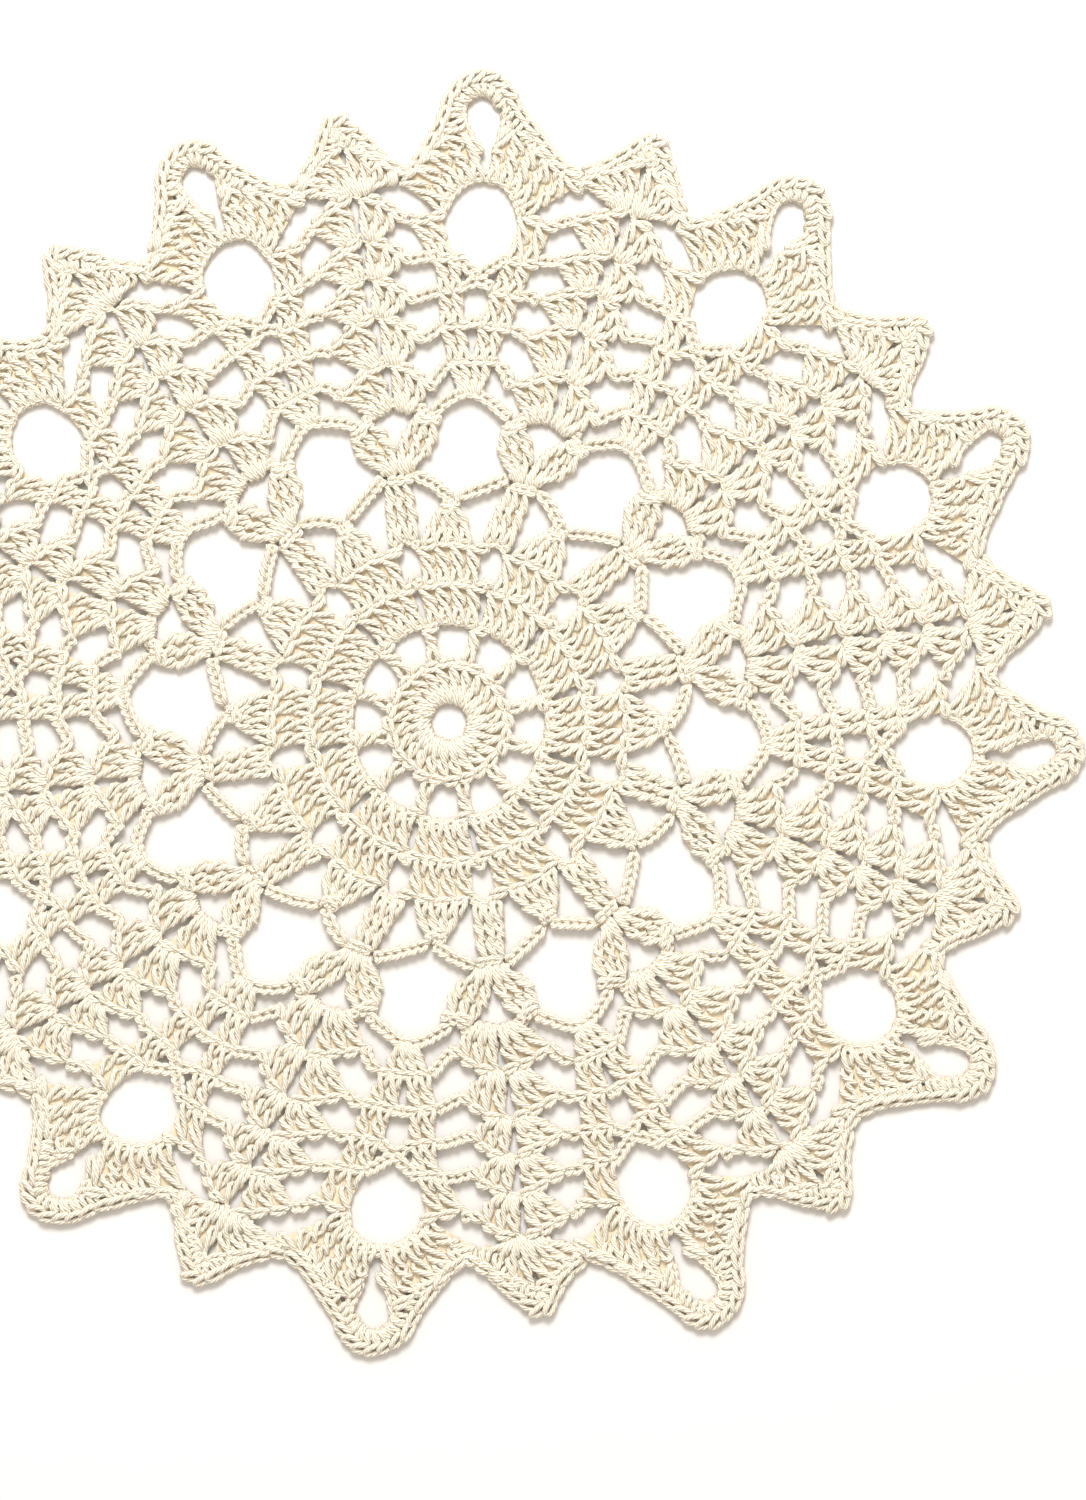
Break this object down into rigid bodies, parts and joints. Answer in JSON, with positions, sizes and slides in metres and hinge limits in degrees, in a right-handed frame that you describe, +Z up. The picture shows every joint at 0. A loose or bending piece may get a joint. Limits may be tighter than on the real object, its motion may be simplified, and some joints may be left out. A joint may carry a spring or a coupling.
{
  "type": "lace doily",
  "caption": "Round crocheted lace doily in cream cotton thread, lying flat, with a pineapple and shell pattern, a ring of big oval holes and an edge of large and small points.",
  "frame": {"origin": "centre of the outline's box on the surface the doily lies on", "axes": "+Z is up out of the lace, +X is the picture's right and +Y is the picture's top"},
  "size_m": [0.2508, 0.2542, 0.0024],
  "materials": {
    "cotton_lace": "undyed cream cotton crochet thread of several plies, matt with a faint sheen"
  },
  "bodies": {
    "root": {"lace_doily": "cotton_lace"}
  },
  "joints": []
}
